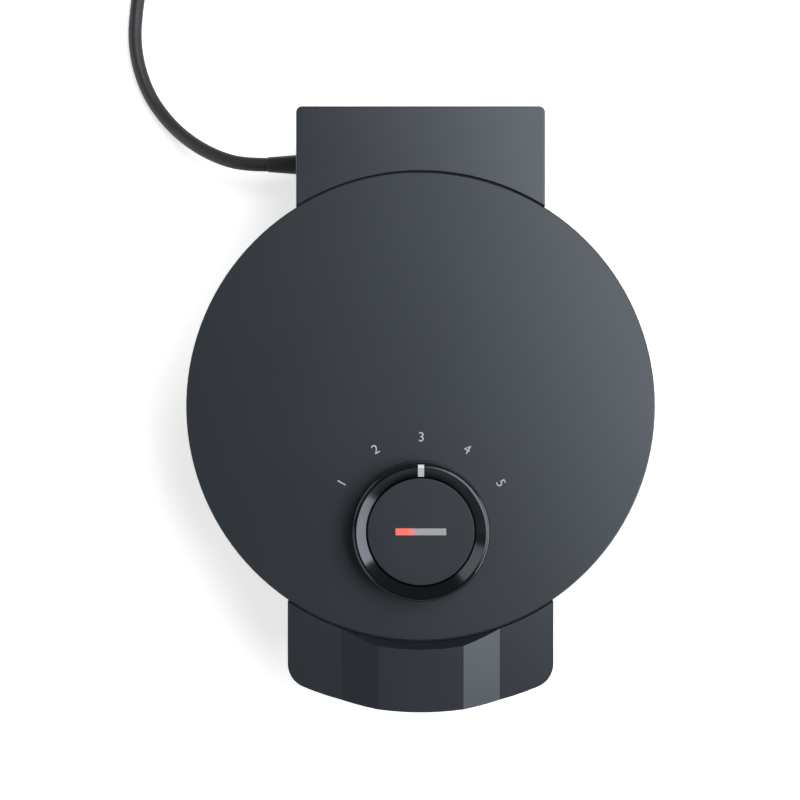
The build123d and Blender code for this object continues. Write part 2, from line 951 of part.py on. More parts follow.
# Dial: turning ring with its web and hub, pointer, spindle
dial_bottom = lid_top + dial_lift
dial_top = lid_top + dial_height
web_top = lid_top + web_height + web_thickness
crest_centre = dial_top - (dial_top_radius - crest_radius)
with BuildSketch(dial_section) as ring_profile:
    with BuildLine():
        Polyline(
            (hub_radius, deck - wall + hub_reach_gap),
            (hub_radius, web_top - web_thickness),
            (dial_outer_radius - dial_skirt, web_top - web_thickness),
            (dial_outer_radius - dial_skirt, dial_bottom),
            (dial_outer_radius, dial_bottom),
            (dial_top_radius, crest_centre),
        )
        RadiusArc(
            (dial_top_radius, crest_centre),
            (crest_radius, dial_top),
            -(dial_top_radius - crest_radius),
        )
        Polyline(
            (crest_radius, dial_top),
            (bevel_foot_radius, dial_top - bevel_drop),
            (dial_bore, dial_top - bevel_drop - edge_rounding),
            (dial_bore, web_top),
            (spindle_radius, web_top),
            (spindle_radius, deck - wall + hub_reach_gap),
            (hub_radius, deck - wall + hub_reach_gap),
        )
    make_face()

with BuildPart() as dial_pointer:
    with BuildSketch(dial_section):
        add(ring_profile.sketch_local)
        with Locations((0, -pointer_depth)):
            add(ring_profile.sketch_local, mode=Mode.SUBTRACT)
        with Locations(((bevel_foot_radius + pointer_reach) / 2, dial_top)):
            Rectangle(pointer_reach - bevel_foot_radius, dial_height, mode=Mode.INTERSECT)
    revolve(axis=dial_axis)
    with Locations(at(0, dial_y, dial_top)):
        Box(
            pointer_width,
            2 * dial_outer_radius,
            dial_height,
            align=(Align.CENTER, Align.MIN, Align.CENTER),
            mode=Mode.INTERSECT,
        )
dial_pointer.part.label = "dial_pointer"

# Middle lines of the slots in the web, through which the posts of the fixed cap pass
slot_half_angle = dial_travel + slot_spare_angle
slot_lines = [
    CenterArc((0, 0), post_circle, middle - slot_half_angle, 2 * slot_half_angle)
    for middle in (0, 180)
]
with BuildPart() as dial_ring:
    add(ring_profile.sketch)
    revolve(axis=dial_axis)
    with BuildSketch(level(web_top - web_thickness, y=dial_y)):
        for slot_line in slot_lines:
            SlotArc(slot_line, height=2 * (post_radius + post_clearance))
    extrude(amount=web_thickness, mode=Mode.SUBTRACT)
    add(dial_pointer.part, mode=Mode.SUBTRACT)
dial_ring.part.label = "dial_ring"

with BuildPart() as dial_spindle:
    with Locations(at(0, dial_y, thermostat_top - spindle_depth)):
        Cylinder(
            spindle_radius,
            web_top - thermostat_top + spindle_depth,
            align=(Align.CENTER, Align.CENTER, Align.MIN),
        )
dial_spindle.part.label = "dial_spindle"

# Fixed cap in the middle of the dial, with its posts, light bar and board
cap_top = lid_top + cap_height
cap_bottom = cap_top - cap_thickness
with BuildPart() as dial_cap:
    with BuildSketch(level(cap_bottom, y=dial_y)):
        Circle(cap_radius)
    extrude(amount=cap_thickness)
    fillet(dial_cap.edges().group_by(Axis.Z)[-1], cap_edge)
    with BuildSketch(level(cap_bottom, y=dial_y)):
        RectangleRounded(
            light_length + 2 * cover_gap,
            light_width + 2 * cover_gap,
            light_corner + cover_gap,
        )
    extrude(amount=cap_thickness, mode=Mode.SUBTRACT)
    with Locations(*post_places_at(deck)):
        Cylinder(
            post_radius,
            cap_bottom - deck,
            align=(Align.CENTER, Align.CENTER, Align.MIN),
        )
        Cylinder(
            screw_radius + screw_clear,
            cap_hole_depth,
            align=(Align.CENTER, Align.CENTER, Align.MIN),
            mode=Mode.SUBTRACT,
        )
dial_cap.part.label = "dial_cap"

with BuildPart() as cap_screws:
    screws(post_places_at(ceiling), cap_screw_length)
cap_screws.part.label = "cap_screws"

with BuildPart() as light_bar:
    with BuildSketch(level(cap_bottom, y=dial_y)):
        RectangleRounded(light_length, light_width, light_corner)
    extrude(amount=cap_thickness + light_proud)
light_bar.part.label = "light_bar"

with BuildPart() as indicator_board:
    with BuildSketch(level(cap_bottom - board_thickness, y=dial_y)):
        Rectangle(board_length, board_width)
        with GridLocations(2 * post_circle, 0, 2, 1):
            Circle(post_radius + cover_gap, mode=Mode.SUBTRACT)
    extrude(amount=board_thickness)
indicator_board.part.label = "indicator_board"

# Thermostat on its bracket, on top of the upper heat shield
with BuildPart() as thermostat_bracket:
    with BuildSketch(level(upper_shield_top, y=dial_y)):
        RectangleRounded(bracket_length, thermostat_width, bracket_corner)
        with GridLocations(bracket_length - 2 * bracket_hole_inset, 0, 2, 1):
            Circle(screw_radius + screw_clear, mode=Mode.SUBTRACT)
    extrude(amount=bracket_sheet)
thermostat_bracket.part.label = "thermostat_bracket"

with BuildPart() as thermostat:
    with Locations(at(0, dial_y, upper_shield_top + bracket_sheet)):
        Box(
            thermostat_length,
            thermostat_width,
            thermostat_height,
            align=(Align.CENTER, Align.CENTER, Align.MIN),
        )
    with Locations(at(0, dial_y, thermostat_top)):
        Cylinder(
            spindle_radius + shaft_collar,
            ceiling - thermostat_top - shaft_collar_gap,
            align=(Align.CENTER, Align.CENTER, Align.MIN),
        )
    with Locations(at(0, dial_y, ceiling)):
        Cylinder(
            spindle_radius + hub_running_gap,
            ceiling - thermostat_top + spindle_depth + shaft_collar_gap,
            align=(Align.CENTER, Align.CENTER, Align.MAX),
            mode=Mode.SUBTRACT,
        )
thermostat.part.label = "thermostat"

with BuildPart() as bracket_screws:
    bracket_hole_x = bracket_length / 2 - bracket_hole_inset
    with Locations(
        *[
            at(sign * bracket_hole_x, dial_y, upper_shield_top + bracket_sheet)
            for sign in (-1, 1)
        ]
    ):
        Cylinder(
            screw_head_radius, screw_head, align=(Align.CENTER, Align.CENTER, Align.MIN)
        )
        Cylinder(screw_radius, bracket_sheet, align=(Align.CENTER, Align.CENTER, Align.MAX))
bracket_screws.part.label = "bracket_screws"

# Mains side: strain relief, tail in the housing, clamp, terminal block, leads, sleeve
relief_tip_x = -block_width / 2 - relief_length
with BuildPart() as strain_relief:
    with BuildSketch(
        Plane(origin=at(0, cord_exit_y, cord_exit_z), x_dir=(1, 0, 0), z_dir=(0, -1, 0))
    ):
        with BuildLine():
            Polyline(
                (relief_tip_x, 0),
                (relief_tip_x, cord_radius + relief_tip_wall),
                (-block_width / 2, relief_root_radius),
                (-block_width / 2 + wall, relief_root_radius),
                (-block_width / 2 + wall, relief_flange_radius),
                (-block_width / 2 + 2 * wall, relief_flange_radius),
                (-block_width / 2 + 2 * wall, 0),
                close=True,
            )
        make_face()
    revolve(axis=Axis(at(0, cord_exit_y, cord_exit_z), (1, 0, 0)))
strain_relief.part.label = "strain_relief"

with BuildPart() as cord_tail:
    with BuildSketch(side(-block_width / 2 + 2 * wall)):
        with Locations((cord_exit_y, cord_exit_z)):
            Circle(cord_radius)
    extrude(amount=tail_end + block_width / 2 - 2 * wall)
cord_tail.part.label = "cord_tail"

with BuildPart() as cord_clamp:
    with Locations(at(clamp_x, cord_exit_y, cord_exit_z + cord_radius)):
        Box(
            clamp_width,
            clamp_length,
            clamp_bar,
            align=(Align.CENTER, Align.CENTER, Align.MIN),
        )
    with Locations(
        *[
            at(clamp_x, cord_exit_y + sign * clamp_leg, cord_exit_z - cord_radius)
            for sign in (-1, 1)
        ]
    ):
        Box(
            clamp_width,
            clamp_bar,
            2 * cord_radius,
            align=(Align.CENTER, Align.CENTER, Align.MIN),
        )
cord_clamp.part.label = "cord_clamp"

with BuildPart() as terminal_block:
    with Locations(at(tail_end + terminal_length / 2, cord_exit_y, cover_top)):
        Box(
            terminal_length,
            terminal_width,
            terminal_height,
            align=(Align.CENTER, Align.CENTER, Align.MIN),
        )
terminal_block.part.label = "terminal_block"

with BuildPart() as base_leads:
    for sign in (-1, 1):
        start_x = tail_end + terminal_length / 2 + sign * terminal_length / 4
        with BuildLine() as lead_path:
            FilletPolyline(
                at(start_x, cord_exit_y - terminal_width / 2, cord_exit_z),
                at(start_x, cord_exit_y - terminal_width / 2 - lead_run, cord_exit_z),
                at(sign * element_lead_x, lead_drop_y + lead_run, cord_exit_z - lead_fall),
                at(sign * element_lead_x, lead_drop_y, cord_exit_z - lead_fall),
                at(sign * element_lead_x, lead_drop_y, element_z - element_tube),
                radius=lead_bend,
            )
        with BuildSketch(Plane(origin=lead_path.line @ 0, z_dir=lead_path.line % 0)):
            Circle(lead_radius)
        sweep(path=lead_path.wires()[0])
base_leads.part.label = "base_leads"

with BuildPart() as lead_sleeve:
    with Locations(at(0, sleeve_y, base_rim - wall)):
        Cylinder(
            sleeve_radius,
            wall + sleeve_stand,
            align=(Align.CENTER, Align.CENTER, Align.MIN),
        )
        Cylinder(
            sleeve_radius - sleeve_wall,
            wall + sleeve_stand,
            align=(Align.CENTER, Align.CENTER, Align.MIN),
            mode=Mode.SUBTRACT,
        )
    fillet(lead_sleeve.edges().group_by(Axis.Z)[-1], sleeve_rounding)
lead_sleeve.part.label = "lead_sleeve"

with BuildPart() as lid_leads:
    for sign in (-1, 1):
        with BuildLine() as lead_path:
            FilletPolyline(
                at(sign * lead_spacing / 2, sleeve_y, lid_rim + wall),
                at(sign * lead_spacing / 2, sleeve_y, upper_shield_top + lead_run),
                at(sign * element_lead_x, lead_drop_y, upper_shield_top + lead_run),
                at(sign * element_lead_x, lead_drop_y, 2 * parting - element_z + element_tube),
                radius=lead_bend,
            )
        with BuildSketch(Plane(origin=lead_path.line @ 0, z_dir=lead_path.line % 0)):
            Circle(lead_radius)
        sweep(path=lead_path.wires()[0])
lid_leads.part.label = "lid_leads"

with BuildPart() as thermal_fuse:
    with Locations(Location(at(fuse_x, 0, upper_shield_top + fuse_radius), (90, 0, 0))):
        Cylinder(fuse_radius, fuse_length)
thermal_fuse.part.label = "thermal_fuse"

# Mains cord from the relief to the coil: points chosen by hand along the table
cord_low = cord_radius
coil_low = cord_radius + tie_thickness
route = [
    at(relief_tip_x, cord_exit_y, cord_exit_z),
    at(-93.4, cord_exit_y, cord_exit_z),
    at(-107.0, 136.0, 18.3),
    at(-124.0, 144.6, 13.5),
    at(-140.5, 158.6, 6.0),
    at(-154.2, 177.6, cord_low),
    at(-161.4, 203.0, cord_low),
    at(-159.4, 230.0, cord_low),
    at(-154.0, 257.5, cord_low),
    at(-151.4, 281.5, coil_low),
    at(-150.6, 299.0, coil_low),
]


def bend_radii(points, share=0.45):
    """Radius of each corner: a share of its shorter run over the tangent of half its turn."""
    radii = []
    for before, corner, after in zip(points, points[1:], points[2:]):
        run_in = Vector(*corner) - Vector(*before)
        run_out = Vector(*after) - Vector(*corner)
        half_turn = math.radians(run_in.get_angle(run_out)) / 2
        radii.append(share * min(run_in.length, run_out.length) / math.tan(half_turn))
    return radii


cord_bends = bend_radii(route)
print("cord bend radii", [round(bend, 1) for bend in cord_bends])
with BuildPart() as cord:
    with BuildLine() as cord_path:
        FilletPolyline(*route, radius=cord_bends)
    with BuildSketch(Plane(origin=cord_path.line @ 0, z_dir=cord_path.line % 0)):
        Circle(cord_radius)
    sweep(path=cord_path.wires()[0])
cord.part.label = "cord"
cord_length = cord_path.wires()[0].length
print(
    "cord length", round(cord_length, 1),
    "volume", round(cord.part.volume),
    "section by length", round(math.pi * cord_radius**2 * cord_length),
)


def biarc_points(start, start_way, end, end_way):
    """Joint of the two arcs that leave the start and reach the end along the given ways."""
    span = end - start
    ways = start_way + end_way
    fall = 2 * (1 - start_way.dot(end_way))
    reach = span.dot(ways)
    handle = (-reach + math.sqrt(reach**2 + fall * span.dot(span))) / fall
    return (start + start_way * handle + end - end_way * handle) * 0.5


# Coil: two layers, spiral in below, climb a layer in half a turn, spiral out above
coil_start = Vector(*route[-1])
heading = (coil_start - Vector(*route[-2])).normalized()
spiral_start = coil_start + heading * (2 * cord_radius)
spiral_lean = math.atan(coil_step / (2 * math.pi * coil_outer_radius))
first_angle = math.atan2(heading.Y, heading.X) + math.pi / 2 + spiral_lean
coil_centre = spiral_start - Vector(math.cos(first_angle), math.sin(first_angle)) * coil_outer_radius
coil_inner_radius = coil_outer_radius - coil_step * turns_inward
coil_turns = turns_inward + turns_outward


def coil_point(turn):
    """Point and way of the coil after a number of turns, clockwise seen from above."""
    angle = first_angle - 2 * math.pi * turn
    past = turn - turns_inward
    radius = coil_inner_radius + coil_step * abs(past)
    growth = 0.0 if abs(past) < 0.01 else math.copysign(coil_step, past)
    climb = min(max(past / 0.5 + 0.5, 0.0), 1.0)
    rise = coil_layer_rise * climb
    slope = 4 * coil_layer_rise if 0.0 < climb < 1.0 else 0.0
    if turn > coil_turns - 0.01:
        radius = coil_exit_radius
        growth = 0.0
    out = Vector(math.cos(angle), math.sin(angle))
    along = Vector(math.sin(angle), -math.cos(angle))
    way = along * (2 * math.pi * radius) + out * growth + Vector(0, 0, slope)
    point = coil_centre + out * radius + Vector(0, 0, rise)
    return point, way.normalized()


with BuildPart() as cord_coil:
    with BuildLine() as coil_path:
        Line(coil_start, spiral_start)
        quarter_count = round(coil_turns * 4)
        for quarter in range(quarter_count):
            start, start_way = coil_point(quarter / 4)
            end, end_way = coil_point((quarter + 1) / 4)
            joint = biarc_points(start, start_way, end, end_way)
            first = TangentArc(start, joint, tangent=start_way)
            TangentArc(joint, end, tangent=first % 1)
        coil_end, coil_end_way = coil_point(coil_turns)
        plug_face = coil_end + coil_end_way * (2 * cord_radius)
        Line(coil_end, plug_face)
    with BuildSketch(Plane(origin=coil_start, z_dir=heading)):
        Circle(cord_radius)
    sweep(path=coil_path.wires()[0])
cord_coil.part.label = "cord_coil"

# Least gap between neighbouring turns, measured on points along the coil
sample_count = 256
samples = [coil_path.wires()[0] @ (index / sample_count) for index in range(sample_count)]
spacing = coil_path.wires()[0].length / sample_count
skip = int(math.pi * coil_inner_radius / spacing)
least_gap = min(
    (samples[one] - samples[other]).length
    for one in range(len(samples))
    for other in range(one + skip, len(samples))
) - 2 * cord_radius
print("coil length", round(coil_path.wires()[0].length, 1), "least gap", round(least_gap, 2))
print("whole cord", round(cord_length + coil_path.wires()[0].length, 1))

# Tie round all the turns, on the coil's right
tie_inner = coil_inner_radius - cord_radius - tie_slack
tie_outer = coil_outer_radius + cord_radius + tie_slack - tie_bite
tie_top = coil_low + coil_layer_rise + cord_radius + tie_slack
with BuildPart() as cord_tie:
    with BuildSketch(
        Plane(origin=(coil_centre.X, coil_centre.Y, 0), x_dir=(1, 0, 0), z_dir=(0, -1, 0))
    ):
        with BuildLine():
            Polyline(
                (tie_inner - tie_thickness, 0),
                (tie_outer + tie_thickness, 0),
                (tie_outer + tie_thickness, tie_top + tie_thickness),
                (tie_inner - tie_thickness, tie_top + tie_thickness),
                close=True,
            )
        make_face()
        with BuildLine():
            Polyline(
                (tie_inner, tie_thickness),
                (tie_outer, tie_thickness),
                (tie_outer, tie_top),
                (tie_inner, tie_top),
                close=True,
            )
        make_face(mode=Mode.SUBTRACT)
    extrude(amount=tie_width / 2, both=True)
cord_tie.part.label = "cord_tie"

# Plug lying on its back beside the coil, pins up
plug_axis = plug_face + coil_end_way * (plug_neck_length + plug_radius - plug_neck_inset)
neck_end = plug_face + coil_end_way * (plug_neck_length + plug_neck_overlap)
with BuildPart() as plug:
    with BuildSketch(Plane(origin=(plug_axis.X, plug_axis.Y, 0))):
        Circle(plug_radius)
    extrude(amount=plug_height)
    fillet(plug.edges().group_by(Axis.Z)[0], plug_back_rounding)
    fillet(plug.edges().group_by(Axis.Z)[-1], plug_face_rounding)
    with BuildSketch(Plane(origin=plug_face, z_dir=coil_end_way)):
        Circle(plug_neck_tip)
    with BuildSketch(Plane(origin=neck_end, z_dir=coil_end_way)):
        Circle(plug_neck_radius)
    loft()
    # Earth clips on two sides and the earth socket in the face
    with Locations((plug_axis.X, plug_axis.Y, plug_height)):
        with GridLocations(0, 2 * plug_radius, 1, 2):
            Box(
                plug_clip_width,
                2 * plug_clip_depth,
                2 * plug_clip_length,
                mode=Mode.SUBTRACT,
            )
    with Locations((plug_axis.X + plug_socket_offset, plug_axis.Y, plug_height)):
        Cylinder(plug_socket_radius, 2 * plug_socket_depth, mode=Mode.SUBTRACT)
plug.part.label = "plug"

with BuildPart() as plug_pins:
    with Locations((plug_axis.X, plug_axis.Y, plug_height)):
        with GridLocations(0, plug_pin_spacing, 1, 2):
            Cylinder(
                plug_pin_radius,
                plug_pin_length,
                align=(Align.CENTER, Align.CENTER, Align.MIN),
            )
    fillet(plug_pins.edges().group_by(Axis.Z)[-1], plug_pin_rounding)
plug_pins.part.label = "plug_pins"

pieces = [
    base_shell, bottom_cover, cover_screws, rubber_feet, lower_handle_cover,
    lower_plate, lower_element, lower_heat_shield, lower_plate_screws, hinge_pin,
    strain_relief, cord_tail, cord_clamp, terminal_block, base_leads, lead_sleeve,
    lid_shell, lid_disc, lid_liner, liner_screws, upper_handle_cover,
    upper_plate, upper_element, upper_heat_shield, upper_plate_screws,
    thermostat, thermostat_bracket, bracket_screws, thermal_fuse, lid_leads,
    dial_cap, cap_screws, light_bar, indicator_board,
    dial_ring, dial_pointer, dial_spindle,
    cord, cord_coil, cord_tie, plug, plug_pins,
]
for piece in pieces:
    export_step(piece.part, f"parts/{piece.part.label}.step")
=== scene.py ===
"""Heart waffle iron seen from above: its finishes, dial scale, mains cord, floor and light."""

import math

import bmesh
import bpy
from bpy.props import FloatProperty, FloatVectorProperty, PointerProperty
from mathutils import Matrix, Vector


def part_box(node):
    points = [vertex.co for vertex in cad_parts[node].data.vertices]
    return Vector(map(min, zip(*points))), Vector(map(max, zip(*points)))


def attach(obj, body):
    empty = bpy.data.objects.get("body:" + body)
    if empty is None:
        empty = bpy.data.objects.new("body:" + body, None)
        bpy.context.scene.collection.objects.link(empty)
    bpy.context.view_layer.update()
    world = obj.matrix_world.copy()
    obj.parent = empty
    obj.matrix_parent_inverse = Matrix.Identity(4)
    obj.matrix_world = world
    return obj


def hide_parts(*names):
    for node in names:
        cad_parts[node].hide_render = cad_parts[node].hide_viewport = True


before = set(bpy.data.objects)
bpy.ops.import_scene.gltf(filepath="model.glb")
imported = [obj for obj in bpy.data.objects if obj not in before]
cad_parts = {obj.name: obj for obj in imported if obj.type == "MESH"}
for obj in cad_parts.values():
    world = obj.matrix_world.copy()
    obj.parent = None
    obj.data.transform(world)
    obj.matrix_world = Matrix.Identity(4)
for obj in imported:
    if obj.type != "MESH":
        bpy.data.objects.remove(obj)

bl_info = {
    "name": "Heart waffle iron",
    "version": (1, 0, 0),
    "blender": (4, 5, 0),
    "location": "3D View > Sidebar > Waffle iron",
    "description": "Dresses the heart waffle iron and sets its cord, scale, floor and light",
    "category": "Object",
}

bpy.context.view_layer.update()
MM = 0.001
# In mm: the plates' axis from the origin, and the dial's axis from the plates' axis
PLATE_Y = 0.95
DIAL_Y = -61.7
LID_TOP = 84.0


def linear(colour):
    """A written sRGB hex colour as linear red, green, blue."""
    values = []
    for place in (0, 2, 4):
        share = int(colour[place : place + 2], 16) / 255
        values.append(share / 12.92 if share <= 0.04045 else ((share + 0.055) / 1.055) ** 2.4)
    return values


def at(x, y, z):
    """Point given in millimetres from the plates' axis, in metres in the row frame."""
    return Vector((x * MM, (y + PLATE_Y) * MM, z * MM))


def opaque(colour, shade=1.0):
    """A linear colour with its alpha, darkened or lightened by a factor."""
    return [min(1.0, value * shade) for value in colour] + [1.0]


# Slightly blue shine, as the lacquer and the plastics have in the studio
COOL = opaque(linear("E8F2FF"))


def colour_setting(name, description, colour):
    """A colour that the user can change."""
    return FloatVectorProperty(
        name=name,
        description=description,
        subtype="COLOR",
        size=3,
        min=0.0,
        max=1.0,
        default=linear(colour),
    )


def length_setting(name, description, millimetres):
    """A length that the user can change."""
    return FloatProperty(
        name=name, description=description, unit="LENGTH", default=millimetres * MM
    )


class WaffleIronColours(bpy.types.PropertyGroup):
    """Colours of the iron's finishes."""

    lacquer: colour_setting("Lid lacquer", "Satin lacquer of the round lid", "21262B")
    housing: colour_setting("Housing", "Moulded handles and hinge block", "1C2025")
    underside: colour_setting("Underside", "Moulded covers that aren't seen from above", "232528")
    dial: colour_setting("Dial", "Polished ring of the dial", "07080B")
    printing: colour_setting("Scale", "Printed numbers round the dial", "B4B8BC")
    lit: colour_setting("Pilot light", "Lit end of the light bar", "F26A5E")
    unlit: colour_setting("Light bar", "Unlit end of the light bar", "9B9DA0")
    coating: colour_setting("Plates", "Non-stick coating of the cooking plates", "2C2C2D")
    cord: colour_setting("Cord", "Sheath of the mains cord and plug", "1F2226")


class WaffleIronCord(bpy.types.PropertyGroup):
    """Sizes of the mains cord and the coil of its spare length."""

    diameter: length_setting("Diameter", "Diameter of the cord", 7.5)
    coil_radius: length_setting("Coil radius", "Radius of the outermost turn", 47.0)
    coil_step: length_setting("Coil step", "How far a turn moves in or out", 8.1)
    layer_rise: length_setting("Layer", "Height from one layer of turns to the next", 8.0)
    turns_in: FloatProperty(name="Turns in", description="Turns of the lower layer", default=1.75)
    turns_out: FloatProperty(name="Turns out", description="Turns of the upper layer", default=1.5)
    exit_radius: length_setting("Last radius", "Radius where the cord leaves the coil", 53.0)


class WaffleIronScale(bpy.types.PropertyGroup):
    """Sizes of the printed scale."""

    height: length_setting("Height", "Height of a number", 4.6)
    radius: length_setting("Radius", "Distance of the numbers from the dial's axis", 45.8)
    spread: FloatProperty(
        name="Spread",
        description="Angle from one number to the next",
        subtype="ANGLE",
        default=math.radians(30),
    )


class WaffleIronView(bpy.types.PropertyGroup):
    """Place of the camera and strength of the light."""

    height: length_setting("Camera height", "Height of the camera over the table", 684.0)
    aside: length_setting("Camera aside", "How far the camera is right of the middle", -10.3)
    lens: FloatProperty(
        name="Lens", description="Focal length", default=53.95, subtype="DISTANCE_CAMERA"
    )
    key: FloatProperty(
        name="Key light", description="Large soft light", default=24.0, unit="POWER"
    )
    fill: FloatProperty(
        name="Fill light", description="Soft light opposite", default=5.0, unit="POWER"
    )
    world: FloatProperty(name="Surroundings", description="Light from overhead", default=0.16)


# Values between which nearly all of a noise texture lies
NOISE_SPAN = 0.3, 0.7


def per_mm(millimetres):
    """Noise scale whose features are about that many millimetres across."""
    return 1 / (millimetres * MM)


def add_node(tree, kind, inputs=None, **settings):
    """Adds a node with its settings; an input is a value or the socket that feeds it."""
    node = tree.nodes.new(kind)
    for name, value in settings.items():
        setattr(node, name, value)
    for name, value in (inputs or {}).items():
        if isinstance(value, bpy.types.NodeSocket):
            tree.links.new(value, node.inputs[name])
        else:
            node.inputs[name].default_value = value
    return node


def make_finish(
    name, colour, mottle, grain, depth, rough, tones=(0.94, 1.06), stretch=(1, 1, 1), **shader
):
    """Material whose tone and gloss vary in patches of mottle mm, under a relief of grain mm."""
    material = bpy.data.materials.new(name)
    material.use_nodes = True
    tree = material.node_tree
    tree.nodes.clear()
    place = add_node(tree, "ShaderNodeTexCoord").outputs["Object"]
    stretched = add_node(tree, "ShaderNodeMapping", {"Vector": place, "Scale": stretch})
    where = stretched.outputs["Vector"]
    patches = add_node(
        tree, "ShaderNodeTexNoise", {"Vector": where, "Scale": per_mm(mottle), "Detail": 3.0}
    )
    tone = add_node(
        tree,
        "ShaderNodeMixRGB",
        {
            "Fac": patches.outputs["Fac"],
            "Color1": opaque(colour, tones[0]),
            "Color2": opaque(colour, tones[1]),
        },
    )
    gloss = add_node(
        tree,
        "ShaderNodeMapRange",
        {
            "Value": patches.outputs["Fac"],
            "From Min": NOISE_SPAN[0],
            "From Max": NOISE_SPAN[1],
            "To Min": rough[0],
            "To Max": rough[1],
        },
    )
    relief = add_node(
        tree, "ShaderNodeTexNoise", {"Vector": where, "Scale": per_mm(grain), "Detail": 2.0}
    )
    bump = add_node(
        tree,
        "ShaderNodeBump",
        {"Height": relief.outputs["Fac"], "Strength": 1.0, "Distance": depth * MM},
    )
    skin = add_node(
        tree,
        "ShaderNodeBsdfPrincipled",
        {
            "Base Color": tone.outputs["Color"],
            "Roughness": gloss.outputs["Result"],
            "Normal": bump.outputs["Normal"],
            **{socket.replace("_", " "): value for socket, value in shader.items()},
        },
    )
    add_node(tree, "ShaderNodeOutputMaterial", {"Surface": skin.outputs["BSDF"]})
    return material


def dress(material, *names):
    """Gives a material to CAD nodes or pieces by name."""
    for name in names:
        slots = bpy.data.objects[name].data.materials
        slots.clear()
        slots.append(material)


def add_mesh(name, points, faces, body="base", sharp=35.0):
    """Makes a piece from points in metres, smooth but for edges sharper than that angle."""
    mesh = bpy.data.meshes.new(name)
    mesh.from_pydata([tuple(point) for point in points], [], faces)
    shaper = bmesh.new()
    shaper.from_mesh(mesh)
    bmesh.ops.recalc_face_normals(shaper, faces=shaper.faces)
    shaper.to_mesh(mesh)
    shaper.free()
    mesh.shade_smooth()
    mesh.set_sharp_from_angle(angle=math.radians(sharp))
    piece = bpy.data.objects.new(name, mesh)
    bpy.context.scene.collection.objects.link(piece)
    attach(piece, body)
    return piece


def middle_of(name):
    """Middle of a node's box as seen from above, in metres."""
    low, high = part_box(name)
    return (low[0] + high[0]) / 2, (low[1] + high[1]) / 2


def turned(profile, base, way, steps):
    """Points and faces of a profile of (distance along, radius), turned round an axis."""
    along = Vector(way).normalized()
    across = along.orthogonal().normalized()
    beside = along.cross(across)
    points = []
    faces = []
    for step in range(steps):
        angle = 2 * math.pi * step / steps
        out = across * math.cos(angle) + beside * math.sin(angle)
        for distance, radius in profile:
            points.append(Vector(base) + along * distance + out * radius)
    count = len(profile)
    for step in range(steps):
        here = step * count
        there = (step + 1) % steps * count
        for row in range(count - 1):
            faces.append((here + row, here + row + 1, there + row + 1, there + row))
    faces.append([step * count for step in range(steps)])
    faces.append([step * count + count - 1 for step in range(steps)])
    return points, faces


# Route of the cord along the table, from the relief's tip to the coil
ROUTE = [
    at(-83.4, 133.4, 20.0),
    at(-93.4, 133.4, 20.0),
    at(-107.0, 136.0, 18.3),
    at(-124.0, 144.6, 13.5),
    at(-140.5, 158.6, 6.0),
    at(-154.2, 177.6, 3.75),
    at(-161.4, 203.0, 3.75),
    at(-159.4, 230.0, 3.75),
    at(-154.0, 257.5, 3.75),
    at(-151.4, 281.5, 4.55),
    at(-150.6, 299.0, 4.55),
]
COIL_POINTS_PER_TURN = 16
# Shares of a turn in which the cord climbs to the upper layer, and leaves the coil at its end
CLIMB_TURNS = 0.5
LEAVING_TURNS = 0.25


def coil_layout(sizes):
    """Heading of the cord at the coil, the coil's centre, and the angle of its first point."""
    heading = (ROUTE[-1] - ROUTE[-2]).normalized()
    lean = math.atan(sizes.coil_step / (2 * math.pi * sizes.coil_radius))
    first = math.atan2(heading.y, heading.x) + math.pi / 2 + lean
    centre = ROUTE[-1] + heading * sizes.diameter
    centre -= Vector((math.cos(first), math.sin(first), 0)) * sizes.coil_radius
    return centre, first


def coil_place(sizes, turn):
    """Point and way of the cord's middle line after a number of turns, clockwise from above."""
    centre, first = coil_layout(sizes)
    angle = first - 2 * math.pi * turn
    past = turn - sizes.turns_in
    inner = sizes.coil_radius - sizes.coil_step * sizes.turns_in
    radius = inner + sizes.coil_step * abs(past)
    last = sizes.turns_in + sizes.turns_out - LEAVING_TURNS
    leaving = max(0.0, turn - last) / LEAVING_TURNS
    easing = leaving * leaving * (3 - 2 * leaving)
    radius += (sizes.exit_radius - radius) * easing
    climb = min(max(past / CLIMB_TURNS + 0.5, 0.0), 1.0)
    out = Vector((math.cos(angle), math.sin(angle), 0))
    along = Vector((math.sin(angle), -math.cos(angle), 0))
    return centre + out * radius + Vector((0, 0, sizes.layer_rise * climb)), out, along


def plug_face(sizes):
    """Where the cord enters the plug."""
    end, _, along = coil_place(sizes, sizes.turns_in + sizes.turns_out)
    return end + along * sizes.diameter


class StandCamera(bpy.types.Operator):
    """Put the camera straight over the iron"""

    bl_idname = "waffle_iron.camera"
    bl_label = "Camera"

    def execute(self, context):
        view = context.scene.waffle_iron_view
        lens = bpy.data.cameras.new("overhead_camera")
        lens.lens = view.lens
        lens.sensor_width = 36.0
        lens.clip_start = 0.01
        camera = bpy.data.objects.new("overhead_camera", lens)
        # The photograph's middle lies a little behind the plates' axis
        camera.location = (view.aside, 3.1 * MM + PLATE_Y * MM, view.height)
        context.scene.collection.objects.link(camera)
        context.scene.camera = camera
        context.scene.view_settings.view_transform = "Standard"
        return {"FINISHED"}


